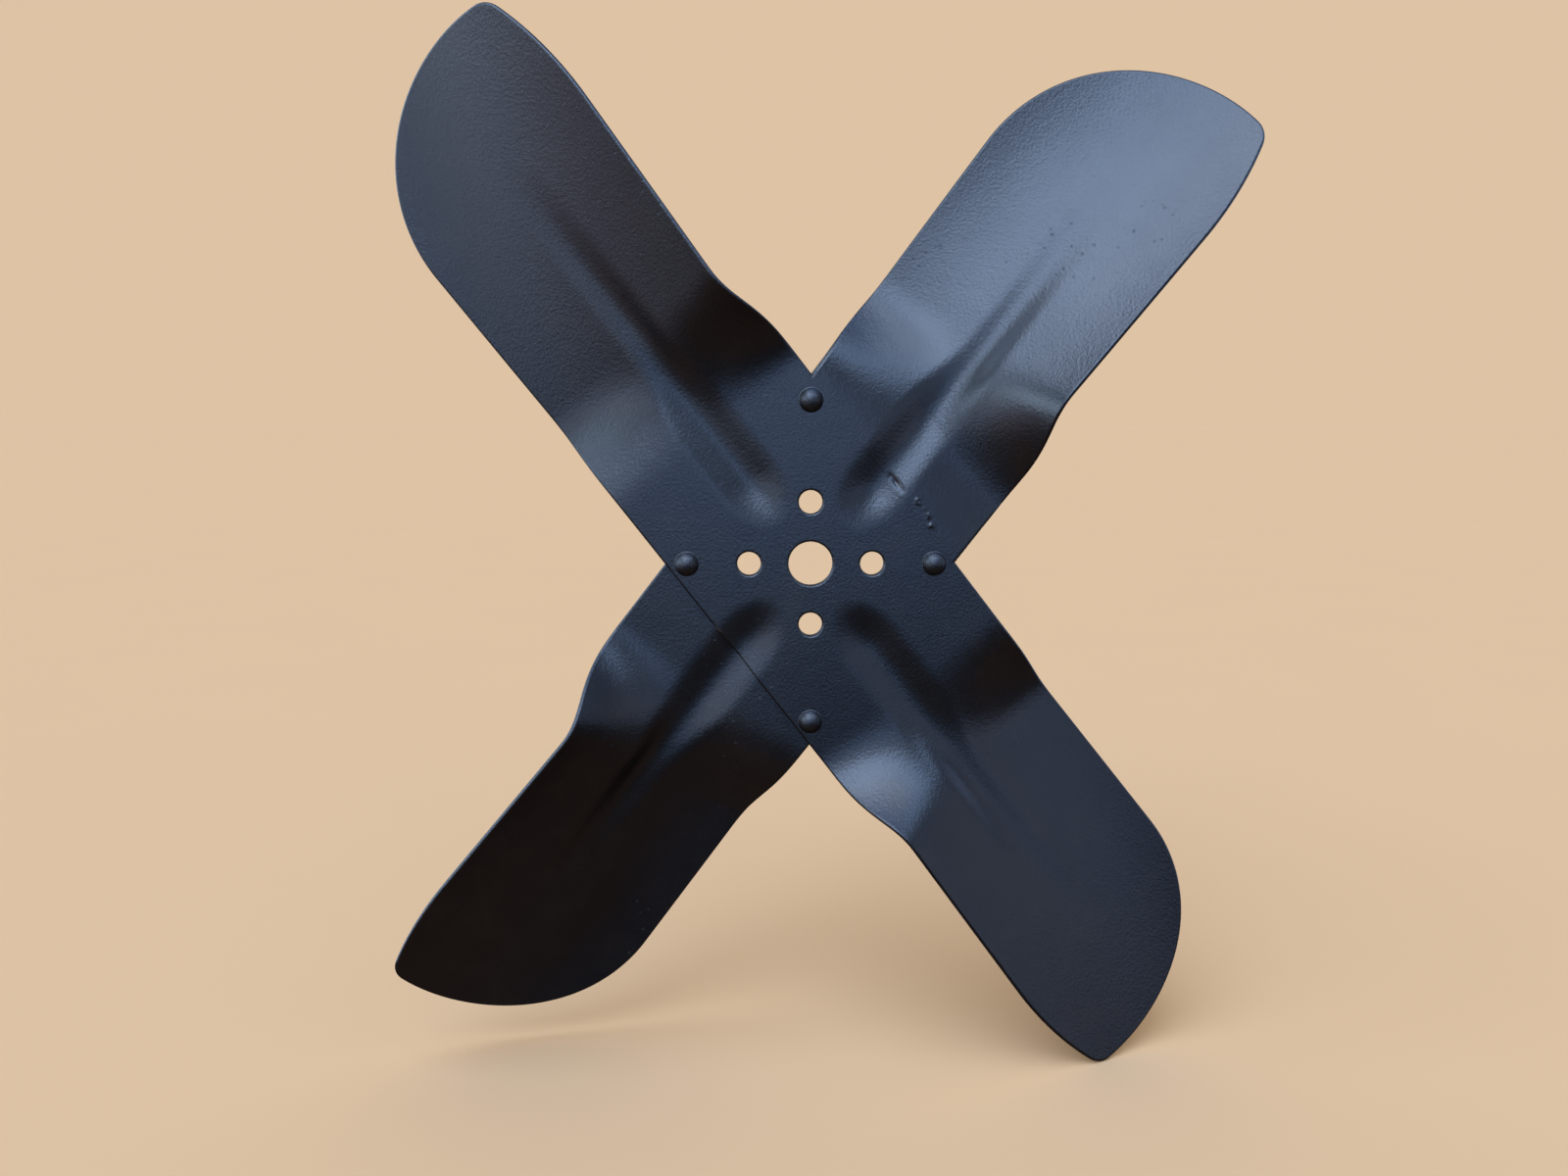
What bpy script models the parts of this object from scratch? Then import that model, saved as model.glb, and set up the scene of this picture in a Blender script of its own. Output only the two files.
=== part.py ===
"""Engine cooling fan: two pressed steel strips crossed at the hub, held together by four rivets.

Metres, +Z up, real size. The fan stands upright and turns about the Y axis. The face that
bolts to the drive hub looks toward -Y, and the origin is the middle of that face. Each strip
makes two opposite blades. A blade point is (s, w): s runs out from the middle along the
strip, and w runs across it, positive toward the side that leads clockwise seen from -Y.
"""
from math import atan2, cos, pi, radians, sin, sqrt

import bmesh
import bpy
from mathutils import Matrix, Vector

MM = 0.001

# Sheet, and the clearance between pieces that touch
SHEET = 1.9 * MM
SEAT_GAP = 0.3 * MM

# The crossed strips
STRIP_HALF_WIDTH = 41.5 * MM
STRIP_RISE = radians(52.2)
FRONT_STRIP_ANGLE = pi - STRIP_RISE
BACK_STRIP_ANGLE = STRIP_RISE
BACK_STRIP_DEPTH = SHEET + SEAT_GAP

# Blade outline: a large arc round the tip, a small corner, and a slack arc down the leading
# edge, which is flared a little past the root
FRONT_TIP_REACH = 217.7 * MM
BACK_TIP_REACH = 214.1 * MM
TIP_ARC_RADIUS = 57.0 * MM
TIP_CORNER_RADIUS = 9.3 * MM
EDGE_ARC_RADIUS = 120.0 * MM
EDGE_ARC_START = 170.5 * MM
FLARE_START = 99.0 * MM
FLARE = 1.0 * MM
TIP_ARC_STEPS = 13
TIP_CORNER_STEPS = 4
EDGE_ARC_STEPS = 4

# Blade form: pitch, hollow and the bend that leads from the flat hub into the blade
PITCH_AT_ROOT = radians(26.2)
PITCH_AT_TIP = radians(17.6)
PITCH_ROOT_S = 90.0 * MM
PITCH_TIP_S = 210.0 * MM
HOLLOW_RADIUS = 149.0 * MM
BEND_MIDDLE = 79.0 * MM
BEND_LENGTH = 38.0 * MM
BEND_SLANT = 0.03
BLADE_SHIFT_ACROSS = -2.0 * MM
BLADE_SHIFT_FORWARD = -0.8 * MM

# An old fan's blades aren't all alike: extra pitch, and how far each is sprung toward -Y
SET_OF_BLADE = {
    "upper_left": (radians(-3.6), 0.8 * MM),
    "lower_right": (radians(0.6), -1.0 * MM),
    "upper_right": (radians(0.2), -0.9 * MM),
    "lower_left": (radians(2.9), 1.0 * MM),
}

# Stiffening groove down the middle of each blade, pressed toward +Y
GROOVE_HALF_WIDTH = 12.0 * MM
GROOVE_FLOOR_HALF = 2.5 * MM
GROOVE_DEPTH = 2.4 * MM
GROOVE_START = 21.0 * MM
GROOVE_FULL = 33.0 * MM
GROOVE_FADE = 75.0 * MM
GROOVE_END = 165.0 * MM

# Lines along which the flat blank is divided before it is pressed
HUB_REACH = 50.0 * MM
BLADE_STEP = 7.0 * MM
ACROSS_LINES = (18.0 * MM, 24.0 * MM, 30.0 * MM, 36.0 * MM)

# The two strips: direction, depth of the front face, reach of the tips, and the blades
STRIPS = {
    "front_blade_strip": {
        "angle": FRONT_STRIP_ANGLE,
        "depth": 0.0,
        "reach": FRONT_TIP_REACH,
        "blades": ("upper_left", "lower_right"),
    },
    "back_blade_strip": {
        "angle": BACK_STRIP_ANGLE,
        "depth": BACK_STRIP_DEPTH,
        "reach": BACK_TIP_REACH,
        "blades": ("upper_right", "lower_left"),
    },
}

# Holes
PILOT_RADIUS = 15.875 * MM / 2
BOLT_CIRCLE_RADIUS = 44.45 * MM / 2
BOLT_HOLE_RADIUS = 8.5 * MM / 2
BOLT_COUNT = 4
CUTTER_LENGTH = 30.0 * MM

# Rivets: places (x, z) and sizes
RIVET_HIGH = 58.4 * MM
RIVET_SIDE = 44.7 * MM
RIVET_PLACES = {
    "rivet_top": (0.0, RIVET_HIGH),
    "rivet_right": (RIVET_SIDE, 0.0),
    "rivet_bottom": (0.0, -RIVET_HIGH),
    "rivet_left": (-RIVET_SIDE, 0.0),
}
RIVET_SHANK_RADIUS = 4.76 * MM / 2
RIVET_HEAD_RADIUS = 4.1 * MM
RIVET_HEAD_HEIGHT = 2.7 * MM
RIVET_TAIL_RADIUS = 4.3 * MM
RIVET_TAIL_HEIGHT = 1.8 * MM
RIVET_DOME_STEPS = 4
RIVET_SIDES = 20


def clear_scene():
    """Remove whatever the open file holds."""
    for thing in list(bpy.data.objects):
        bpy.data.objects.remove(thing, do_unlink=True)


def make_paint(name, colour, roughness):
    """A satin paint on steel."""
    paint = bpy.data.materials.new(name)
    paint.use_nodes = True
    shader = paint.node_tree.nodes["Principled BSDF"]
    shader.inputs["Base Color"].default_value = (*colour, 1.0)
    shader.inputs["Roughness"].default_value = roughness
    shader.inputs["Metallic"].default_value = 0.0
    return paint


def smooth_step(value):
    """0 below 0, 1 above 1, and an even S between."""
    value = min(max(value, 0.0), 1.0)
    return value * value * (3.0 - 2.0 * value)


def strip_axes(angle):
    """The strip's direction outward and its clockwise side, as world vectors."""
    along = Vector((cos(angle), 0.0, sin(angle)))
    across = Vector((sin(angle), 0.0, -cos(angle)))
    return along, across


def arc(centre, radius, start, end, steps):
    """Points (s, w) on an arc, both ends included."""
    points = []
    for index in range(steps + 1):
        turn = start + (end - start) * index / steps
        points.append((centre.x + radius * cos(turn), centre.y + radius * sin(turn)))
    return points


def corner_centre(tip, edge):
    """Middle of the small corner that touches the tip arc and the edge arc from inside."""
    tip_run = TIP_ARC_RADIUS - TIP_CORNER_RADIUS
    edge_run = EDGE_ARC_RADIUS - TIP_CORNER_RADIUS
    line = edge - tip
    apart = line.length
    along = (tip_run ** 2 - edge_run ** 2 + apart ** 2) / (2 * apart)
    beside = sqrt(tip_run ** 2 - along ** 2)
    line.normalize()
    return tip + line * along + Vector((-line.y, line.x)) * beside


def blade_outline(reach):
    """Outline (s, w) of a blade, from the flare's start round the tip and back."""
    tip = Vector((reach - TIP_ARC_RADIUS, TIP_ARC_RADIUS - STRIP_HALF_WIDTH))
    edge = Vector((EDGE_ARC_START, STRIP_HALF_WIDTH + FLARE - EDGE_ARC_RADIUS))
    corner = corner_centre(tip, edge)
    tip_end = atan2(corner.y - tip.y, corner.x - tip.x)
    edge_end = atan2(corner.y - edge.y, corner.x - edge.x)
    outline = [(FLARE_START, -STRIP_HALF_WIDTH)]
    outline += arc(tip, TIP_ARC_RADIUS, -pi / 2, tip_end, TIP_ARC_STEPS)
    outline += arc(corner, TIP_CORNER_RADIUS, tip_end, edge_end, TIP_CORNER_STEPS)[1:]
    outline += arc(edge, EDGE_ARC_RADIUS, edge_end, pi / 2, EDGE_ARC_STEPS)[1:]
    outline.append((FLARE_START, STRIP_HALF_WIDTH))
    return outline


def groove_depth(s, w):
    """How far the groove along one blade's middle is pressed in at (s, w)."""
    side = (GROOVE_HALF_WIDTH - abs(w)) / (GROOVE_HALF_WIDTH - GROOVE_FLOOR_HALF)
    start = (s - GROOVE_START) / (GROOVE_FULL - GROOVE_START)
    fade = (GROOVE_END - s) / (GROOVE_END - GROOVE_FADE)
    return GROOVE_DEPTH * max(0.0, min(side, start, fade, 1.0))


def hub_groove_depth(point):
    """The deepest of the four grooves at a flat world point."""
    depth = 0.0
    for angle in (FRONT_STRIP_ANGLE, BACK_STRIP_ANGLE):
        along, across = strip_axes(angle)
        s = point.dot(along)
        w = point.dot(across)
        depth = max(depth, groove_depth(s, w), groove_depth(-s, -w))
    return depth


def press_blade(s, w, groove, extra_pitch, sprung):
    """Where the flat point (s, w) lies on the pressed blade: out, across, toward -Y."""
    bend_start = BEND_MIDDLE + BEND_SLANT * w - BEND_LENGTH / 2
    formed = smooth_step((s - bend_start) / BEND_LENGTH)
    run = max(0.0, (s - PITCH_ROOT_S) / (PITCH_TIP_S - PITCH_ROOT_S))
    pitch = formed * (PITCH_AT_ROOT + (PITCH_AT_TIP - PITCH_AT_ROOT) * run + extra_pitch)
    if formed > 0.0:
        bow = formed / HOLLOW_RADIUS
        chord = sin(bow * w) / bow
        rise = (1.0 - cos(bow * w)) / bow
    else:
        chord = w
        rise = 0.0
    rise -= groove
    across = chord * cos(pitch) - rise * sin(pitch) + formed * BLADE_SHIFT_ACROSS
    forward = chord * sin(pitch) + rise * cos(pitch) + formed * (BLADE_SHIFT_FORWARD + sprung)
    return s, across, forward


def press_point(flat, strip):
    """Press one flat world point of a strip to its place."""
    along, across = strip_axes(strip["angle"])
    s = flat.dot(along)
    w = flat.dot(across)
    blade = strip["blades"][0]
    if s < 0.0:
        along, across, s, w = -along, -across, -s, -w
        blade = strip["blades"][1]
    groove = hub_groove_depth(flat) if s < HUB_REACH else groove_depth(s, w)
    out, side, forward = press_blade(s, w, groove, *SET_OF_BLADE[blade])
    return along * out + across * side + Vector((0.0, strip["depth"] - forward, 0.0))


def cut_line(sheet, direction, distance, wanted):
    """Divide the wanted faces where a point's run along the direction equals the distance."""
    faces = [face for face in sheet.faces if wanted(face.calc_center_median())]
    edges = {edge for face in faces for edge in face.edges}
    corners = {corner for face in faces for corner in face.verts}
    bmesh.ops.bisect_plane(
        sheet, geom=faces + list(edges) + list(corners), dist=1e-7,
        plane_co=direction * distance, plane_no=direction)


def groove_lines(sheet):
    """Divide the hub along the floors and lips of all four grooves, and where they start.

    Both strips get the same lines right across the hub, so that one nests in the other.
    """
    def in_hub(centre):
        return centre.length < HUB_REACH

    for angle in (FRONT_STRIP_ANGLE, BACK_STRIP_ANGLE):
        along, across = strip_axes(angle)
        for distance in (GROOVE_HALF_WIDTH, GROOVE_FLOOR_HALF):
            cut_line(sheet, across, distance, in_hub)
            cut_line(sheet, across, -distance, in_hub)
        for distance in (GROOVE_START, GROOVE_FULL):
            cut_line(sheet, along, distance, in_hub)
            cut_line(sheet, along, -distance, in_hub)


def blade_lines(sheet, strip):
    """Part the blades from the hub, then divide them across at even steps and along."""
    along, across = strip_axes(strip["angle"])
    cut_line(sheet, along, HUB_REACH, lambda centre: True)
    cut_line(sheet, along, -HUB_REACH, lambda centre: True)

    def on_blade(centre):
        return abs(centre.dot(along)) > HUB_REACH

    for index in range(int((strip["reach"] - HUB_REACH) / BLADE_STEP)):
        distance = HUB_REACH + BLADE_STEP * (index + 1)
        cut_line(sheet, along, distance, on_blade)
        cut_line(sheet, along, -distance, on_blade)
    for distance in (GROOVE_FLOOR_HALF, GROOVE_HALF_WIDTH, *ACROSS_LINES):
        cut_line(sheet, across, distance, on_blade)
        cut_line(sheet, across, -distance, on_blade)


def pressed_sheet(strip):
    """The strip's front face as a mesh: blank, dividing lines, then pressing."""
    along, across = strip_axes(strip["angle"])
    sheet = bmesh.new()
    roots = []
    for turn in (1.0, -1.0):
        places = [(along * s + across * w) * turn for s, w in blade_outline(strip["reach"])]
        corners = [sheet.verts.new(place) for place in places]
        sheet.faces.new(corners)
        roots += [corners[0], corners[-1]]
    sheet.faces.new(roots)
    blade_lines(sheet, strip)
    groove_lines(sheet)
    for corner in sheet.verts:
        corner.co = press_point(corner.co.copy(), strip)
    bmesh.ops.triangulate(
        sheet, faces=sheet.faces[:], quad_method="SHORT_EDGE", ngon_method="BEAUTY")
    if sum(face.normal.y for face in sheet.faces) > 0.0:
        bmesh.ops.reverse_faces(sheet, faces=sheet.faces[:])
    return sheet


def add_object(name, source, material=None):
    """Turn a bmesh into an object in the scene."""
    mesh = bpy.data.meshes.new(name)
    source.to_mesh(mesh)
    source.free()
    if material:
        mesh.materials.append(material)
    thing = bpy.data.objects.new(name, mesh)
    bpy.context.scene.collection.objects.link(thing)
    return thing


def add_cutter(name, places, radius, sides):
    """Round punches along Y at the given (x, z) places, as one hidden object."""
    punch = bmesh.new()
    for x, z in places:
        place = Matrix.Translation((x, 0.0, z)) @ Matrix.Rotation(pi / 2, 4, "X")
        bmesh.ops.create_cone(
            punch, cap_ends=True, segments=sides, radius1=radius, radius2=radius,
            depth=CUTTER_LENGTH, matrix=place)
    cutter = add_object(name, punch)
    cutter.hide_render = True
    cutter.display_type = "WIRE"
    return cutter


def bolt_places():
    """The bolt holes' places (x, z): top, left, bottom and right."""
    places = []
    for index in range(BOLT_COUNT):
        turn = pi / 2 + 2 * pi * index / BOLT_COUNT
        places.append((BOLT_CIRCLE_RADIUS * cos(turn), BOLT_CIRCLE_RADIUS * sin(turn)))
    return places


def add_strip(name, strip, cutters, paint):
    """One pressed strip with its thickness and its holes."""
    piece = add_object(name, pressed_sheet(strip), paint)
    thickness = piece.modifiers.new("sheet_thickness", "SOLIDIFY")
    thickness.thickness = SHEET
    thickness.offset = -1.0
    thickness.use_even_offset = True
    for cutter in cutters:
        punch = piece.modifiers.new(cutter.name, "BOOLEAN")
        punch.operation = "DIFFERENCE"
        punch.solver = "EXACT"
        punch.object = cutter


def dome(radius, height, base_y, way):
    """Profile points (r, y) of a dome from its rim to its top, rising along the given way."""
    ball = (radius ** 2 + height ** 2) / (2 * height)
    rim = atan2(radius, ball - height)
    points = []
    for index in range(RIVET_DOME_STEPS + 1):
        turn = rim * (1 - index / RIVET_DOME_STEPS)
        points.append((ball * sin(turn), base_y + way * (ball * cos(turn) - ball + height)))
    return points


def rivet_mesh(paint):
    """A round head in front, the shank through both strips, and a flatter tail behind."""
    front_y = -SEAT_GAP
    back_y = BACK_STRIP_DEPTH + SHEET + SEAT_GAP
    profile = dome(RIVET_HEAD_RADIUS, RIVET_HEAD_HEIGHT, front_y, -1.0)[::-1]
    profile += [(RIVET_SHANK_RADIUS, front_y), (RIVET_SHANK_RADIUS, back_y)]
    profile += dome(RIVET_TAIL_RADIUS, RIVET_TAIL_HEIGHT, back_y, 1.0)
    rivet = bmesh.new()
    line = [rivet.verts.new((radius, y, 0.0)) for radius, y in profile]
    edges = [rivet.edges.new(pair) for pair in zip(line, line[1:])]
    bmesh.ops.spin(
        rivet, geom=line + edges, cent=(0.0, 0.0, 0.0), axis=(0.0, 1.0, 0.0),
        angle=2 * pi, steps=RIVET_SIDES, use_merge=True)
    bmesh.ops.remove_doubles(rivet, verts=rivet.verts[:], dist=1e-6)
    bmesh.ops.recalc_face_normals(rivet, faces=rivet.faces[:])
    mesh = bpy.data.meshes.new("rivet")
    rivet.to_mesh(mesh)
    rivet.free()
    mesh.materials.append(paint)
    mesh.shade_smooth()
    mesh.set_sharp_from_angle(angle=radians(40.0))
    return mesh


def add_rivets(paint):
    """Four rivets that share one mesh, each standing on its own place."""
    mesh = rivet_mesh(paint)
    for name, (x, z) in RIVET_PLACES.items():
        rivet = bpy.data.objects.new(name, mesh)
        rivet.location = (x, 0.0, z)
        bpy.context.scene.collection.objects.link(rivet)


def main():
    clear_scene()
    strip_paint = make_paint("satin_black_paint", (0.020, 0.022, 0.028), 0.38)
    rivet_paint = make_paint("rivet_paint", (0.024, 0.026, 0.032), 0.34)
    cutters = [
        add_cutter("pilot_punch", [(0.0, 0.0)], PILOT_RADIUS, 48),
        add_cutter("bolt_punches", bolt_places(), BOLT_HOLE_RADIUS, 32),
        add_cutter(
            "rivet_punches", list(RIVET_PLACES.values()), RIVET_SHANK_RADIUS + SEAT_GAP, 24),
    ]
    for name, strip in STRIPS.items():
        add_strip(name, strip, cutters, strip_paint)
    add_rivets(rivet_paint)


main()
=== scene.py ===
# %% [markdown]
# # Engine cooling fan
#
# The real fan is six pieces. Two strips of 1.9 mm steel, each pressed into a pair of blades, cross
# at the hub, four rivets clamp them together, and the whole thing was then sprayed satin black.
# The CAD model fixes where everything is. This script makes the same pieces again with the detail
# that the eye wants: smooth grooves, rounded sheet edges, paint that has run into the corners.
#
# All lengths are in metres. The fan stands upright and turns about Y, and its hub face looks
# along -Y, toward the camera.

from math import atan2, ceil, cos, pi, radians, sin, sqrt, tan

import bmesh
import bpy
from mathutils import Matrix, Vector, noise


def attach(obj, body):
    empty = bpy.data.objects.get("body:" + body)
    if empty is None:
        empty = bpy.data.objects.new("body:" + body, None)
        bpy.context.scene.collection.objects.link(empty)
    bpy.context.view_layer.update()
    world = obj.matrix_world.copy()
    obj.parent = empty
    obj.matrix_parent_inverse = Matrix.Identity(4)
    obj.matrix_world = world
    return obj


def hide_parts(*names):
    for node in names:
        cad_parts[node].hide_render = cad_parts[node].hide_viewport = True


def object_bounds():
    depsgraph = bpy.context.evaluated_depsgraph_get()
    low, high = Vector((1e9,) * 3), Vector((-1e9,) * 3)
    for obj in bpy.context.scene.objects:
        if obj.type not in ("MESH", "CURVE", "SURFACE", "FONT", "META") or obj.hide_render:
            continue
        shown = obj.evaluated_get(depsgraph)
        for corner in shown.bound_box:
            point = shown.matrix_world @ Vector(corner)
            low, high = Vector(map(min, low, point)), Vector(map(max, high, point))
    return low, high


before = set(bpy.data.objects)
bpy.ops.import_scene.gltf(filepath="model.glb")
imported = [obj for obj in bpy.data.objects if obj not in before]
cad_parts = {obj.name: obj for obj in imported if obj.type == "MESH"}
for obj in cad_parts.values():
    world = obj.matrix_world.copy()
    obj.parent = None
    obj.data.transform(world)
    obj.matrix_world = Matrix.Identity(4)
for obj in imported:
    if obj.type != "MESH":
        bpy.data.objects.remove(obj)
cad_box = [list(corner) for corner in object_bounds()]
MM = 0.001
print("CAD nodes:", sorted(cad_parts))
print("CAD box:", cad_box)

# %% [markdown]
# ## Camera
#
# The camera was found by fitting the hub's holes and the blades' outlines, so it stands where the
# real lens stood: about 0.42 m in front of the hub, a little left of it and above it, looking
# down by eight degrees. So close a camera makes the near blades look larger, and only the right
# distance gives the right outline. The fit gives the focal length in pixels of a picture that is
# 1600 pixels wide, and the width of the sensor turns it into millimetres.

# %% Camera
CAMERA_PLACE = Vector((-0.0163, -0.4191, 0.0498))
CAMERA_LOOKS = Vector((0.0158, 0.9902, -0.1384))
CAMERA_UP = Vector((0.0025, 0.1384, 0.9904))
FOCAL_PIXELS = 1194.2
PHOTO_WIDTH = 1600
SENSOR_WIDTH = 36.0
NEAREST_SEEN = 10 * MM


def add_camera():
    """A camera from its place, its line of sight and its upward direction."""
    lens = bpy.data.cameras.new("camera")
    lens.sensor_fit = "HORIZONTAL"
    lens.sensor_width = SENSOR_WIDTH
    lens.lens = FOCAL_PIXELS * SENSOR_WIDTH / PHOTO_WIDTH
    lens.clip_start = NEAREST_SEEN
    back = -CAMERA_LOOKS.normalized()
    right = CAMERA_UP.cross(back).normalized()
    up = back.cross(right)
    camera = bpy.data.objects.new("camera", lens)
    turn = Matrix((right, up, back)).transposed().to_4x4()
    camera.matrix_world = Matrix.Translation(CAMERA_PLACE) @ turn
    bpy.context.scene.collection.objects.link(camera)
    bpy.context.scene.camera = camera
    return camera


camera = add_camera()
print("lens in mm:", round(camera.data.lens, 2))

# %% [markdown]
# ## The flat blank
#
# A press shop starts a blade strip as a flat blank: straight sides, and at each end a tip of
# three arcs. The tip's large arc starts square to the trailing side, a small arc turns the
# corner, and a slack arc runs down the leading edge, which is flared a little.
#
# An outline like this could be typed in as points. Here it is drawn as on a drawing board: a
# corner is extruded along a line, or swept round a centre with spin, and the operators place
# the points in between. A point of the blank is (s, w): s runs out from the middle, and w runs
# across, positive toward the side that leads clockwise.

# %% Draw lines and arcs
OUTLINE_STEP = 1.2 * MM


def last_corner(swept):
    """The corner that a sweep ended on."""
    return next(item for item in swept["geom_last"] if isinstance(item, bmesh.types.BMVert))


def draw_line(blank, corner, end):
    """Draw a line from a corner to a place in equal steps. Returns its last corner."""
    line = Vector(end) - corner.co
    steps = ceil(line.length / OUTLINE_STEP)
    return last_corner(bmesh.ops.spin(
        blank, geom=[corner], cent=(0, 0, 0), axis=(0, 0, 1), dvec=line / steps,
        angle=0.0, steps=steps))


def draw_arc(blank, corner, centre, turn):
    """Sweep a corner round a centre by an angle. Returns the arc's last corner."""
    steps = ceil(abs(turn) * (corner.co - centre).length / OUTLINE_STEP)
    return last_corner(bmesh.ops.spin(
        blank, geom=[corner], cent=centre, axis=(0, 0, 1), angle=turn, steps=steps))


# %% Outline of one blade
HALF_WIDTH = 41.5 * MM
TIP_ARC = 57.0 * MM
CORNER_ARC = 9.3 * MM
EDGE_ARC = 120.0 * MM
EDGE_ARC_START = 170.5 * MM
FLARE_START = 99.0 * MM
FLARE = 1.0 * MM


def corner_middle(tip, edge):
    """Middle of the small arc that touches the tip arc and the edge arc from inside."""
    tip_run = TIP_ARC - CORNER_ARC
    edge_run = EDGE_ARC - CORNER_ARC
    line = edge - tip
    apart = line.length
    along = (tip_run ** 2 - edge_run ** 2 + apart ** 2) / (2 * apart)
    beside = sqrt(tip_run ** 2 - along ** 2)
    line.normalize()
    return tip + line * along + Vector((-line.y, line.x, 0.0)) * beside


def heading(centre, place):
    """The angle at which a place is seen from a centre."""
    return atan2(place.y - centre.y, place.x - centre.x)


def draw_blade(blank, reach):
    """One blade's outline, from the middle of the hub round the tip and back."""
    tip = Vector((reach - TIP_ARC, TIP_ARC - HALF_WIDTH, 0.0))
    edge = Vector((EDGE_ARC_START, HALF_WIDTH + FLARE - EDGE_ARC, 0.0))
    corner = corner_middle(tip, edge)
    pen = blank.verts.new((0.0, -HALF_WIDTH, 0.0))
    pen = draw_line(blank, pen, (tip.x, -HALF_WIDTH, 0.0))
    pen = draw_arc(blank, pen, tip, pi / 2 + heading(tip, corner))
    pen = draw_arc(blank, pen, corner, heading(edge, corner) - heading(tip, corner))
    pen = draw_arc(blank, pen, edge, pi / 2 - heading(edge, corner))
    pen = draw_line(blank, pen, (FLARE_START, HALF_WIDTH, 0.0))
    draw_line(blank, pen, (0.0, HALF_WIDTH, 0.0))


print("straight sides apart, mm:", round(2 * HALF_WIDTH / MM, 1))

# %% [markdown]
# The second blade is the first one turned by half a turn. Filling the closed outline gives one
# big face. An inset then lays a narrow row of faces along the whole edge, so that the rounding
# of the edge has clean, even faces to work on, and the rest is ruled into small squares with
# bisect, as fine as the press's curves need.
#
# The rounding is wider than a stray sliver of a face, and a sliver in its way would be pulled out
# into a spike. So the ruled lines stop short of the edge row, corners that nearly meet are
# merged, and what slivers are left are dissolved.

# %% Fill the outline and rule it
EDGE_ROW = 1.2 * MM
RULED_STEP = 1.5 * MM
UNRULED = 2 * EDGE_ROW
MERGE = 0.35 * MM
SLIVER = 0.1 * MM
SAME_PLACE = 0.001 * MM


def filled_blank(reach):
    """The whole strip's outline as one face, looking toward -Z."""
    blank = bmesh.new()
    draw_blade(blank, reach)
    other = bmesh.ops.duplicate(blank, geom=blank.verts[:] + blank.edges[:])
    turned = [item for item in other["geom"] if isinstance(item, bmesh.types.BMVert)]
    bmesh.ops.rotate(blank, verts=turned, cent=(0, 0, 0), matrix=Matrix.Rotation(pi, 3, "Z"))
    bmesh.ops.remove_doubles(blank, verts=blank.verts[:], dist=MERGE)
    bmesh.ops.contextual_create(blank, geom=blank.edges[:])
    if blank.faces[:][0].normal.z > 0.0:
        bmesh.ops.reverse_faces(blank, faces=blank.faces[:])
    return blank


def rule_across(blank, faces, direction, reach):
    """Divide faces along even lines. Works outward, so each cut meets few faces."""
    lines = int(reach / RULED_STEP)
    ahead = faces
    done = []
    for line in range(-lines, lines + 1):
        distance = line * RULED_STEP
        parts = ahead + list({edge for face in ahead for edge in face.edges})
        parts += list({corner for face in ahead for corner in face.verts})
        cut = bmesh.ops.bisect_plane(
            blank, geom=parts, dist=SAME_PLACE, plane_co=direction * distance,
            plane_no=direction)
        pieces = {item for item in cut["geom"] if isinstance(item, bmesh.types.BMFace)}
        behind = [face for face in pieces if face.calc_center_median().dot(direction) < distance]
        done += behind
        ahead = list(pieces.difference(behind))
    return done + ahead


def ruled_blank(reach):
    """The blank with its edge row and its ruled inside."""
    blank = filled_blank(reach)
    outline = set(blank.verts)
    inside = blank.faces[:]
    bmesh.ops.inset_region(
        blank, faces=inside, thickness=EDGE_ROW, use_boundary=True, use_even_offset=True)
    inside = [face for face in blank.faces if not outline.intersection(face.verts)]
    inside = rule_across(blank, inside, Vector((0, 1, 0)), HALF_WIDTH - UNRULED)
    rule_across(blank, inside, Vector((1, 0, 0)), reach - UNRULED)
    inner = [corner for corner in blank.verts if corner not in outline]
    bmesh.ops.remove_doubles(blank, verts=inner, dist=MERGE)
    bmesh.ops.dissolve_degenerate(blank, edges=blank.edges[:], dist=SLIVER)
    return blank


# %% [markdown]
# ## Holes
#
# The pilot hole, the four bolt holes and the four rivet holes are punched while the blank is
# still flat. A Boolean would leave slivers at every crossing with the ruled lines, and the
# rounded rim would show them. Instead the small faces round each place are taken out, a clean
# ring of even steps is set in, and a fill closes the collar between ring and sheet.

# %% Punch the holes
PILOT = 15.875 * MM / 2
BOLT_CIRCLE = 44.45 * MM / 2
BOLT_HOLE = 8.5 * MM / 2
RIVET_HIGH = 58.4 * MM
RIVET_SIDE = 44.7 * MM
RIVET_HOLE = 2.68 * MM

# The row of faces at a hole's rim and the step along it, the collar filled outside that row, and
# how far out the ragged border of the cleared faces may lie
RIM_ROW = 0.9 * MM
HOLE_STEP = 0.45 * MM
COLLAR = 0.7 * MM
RAGGED = 3 * RULED_STEP

RIVETS = {
    "rivet_top": (0.0, RIVET_HIGH),
    "rivet_right": (RIVET_SIDE, 0.0),
    "rivet_bottom": (0.0, -RIVET_HIGH),
    "rivet_left": (-RIVET_SIDE, 0.0),
}
HOLES = [(0.0, 0.0, PILOT)]
HOLES += [(x * BOLT_CIRCLE, z * BOLT_CIRCLE, BOLT_HOLE)
          for x, z in ((0, 1), (1, 0), (0, -1), (-1, 0))]
HOLES += [(x, z, RIVET_HOLE) for x, z in RIVETS.values()]


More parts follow.
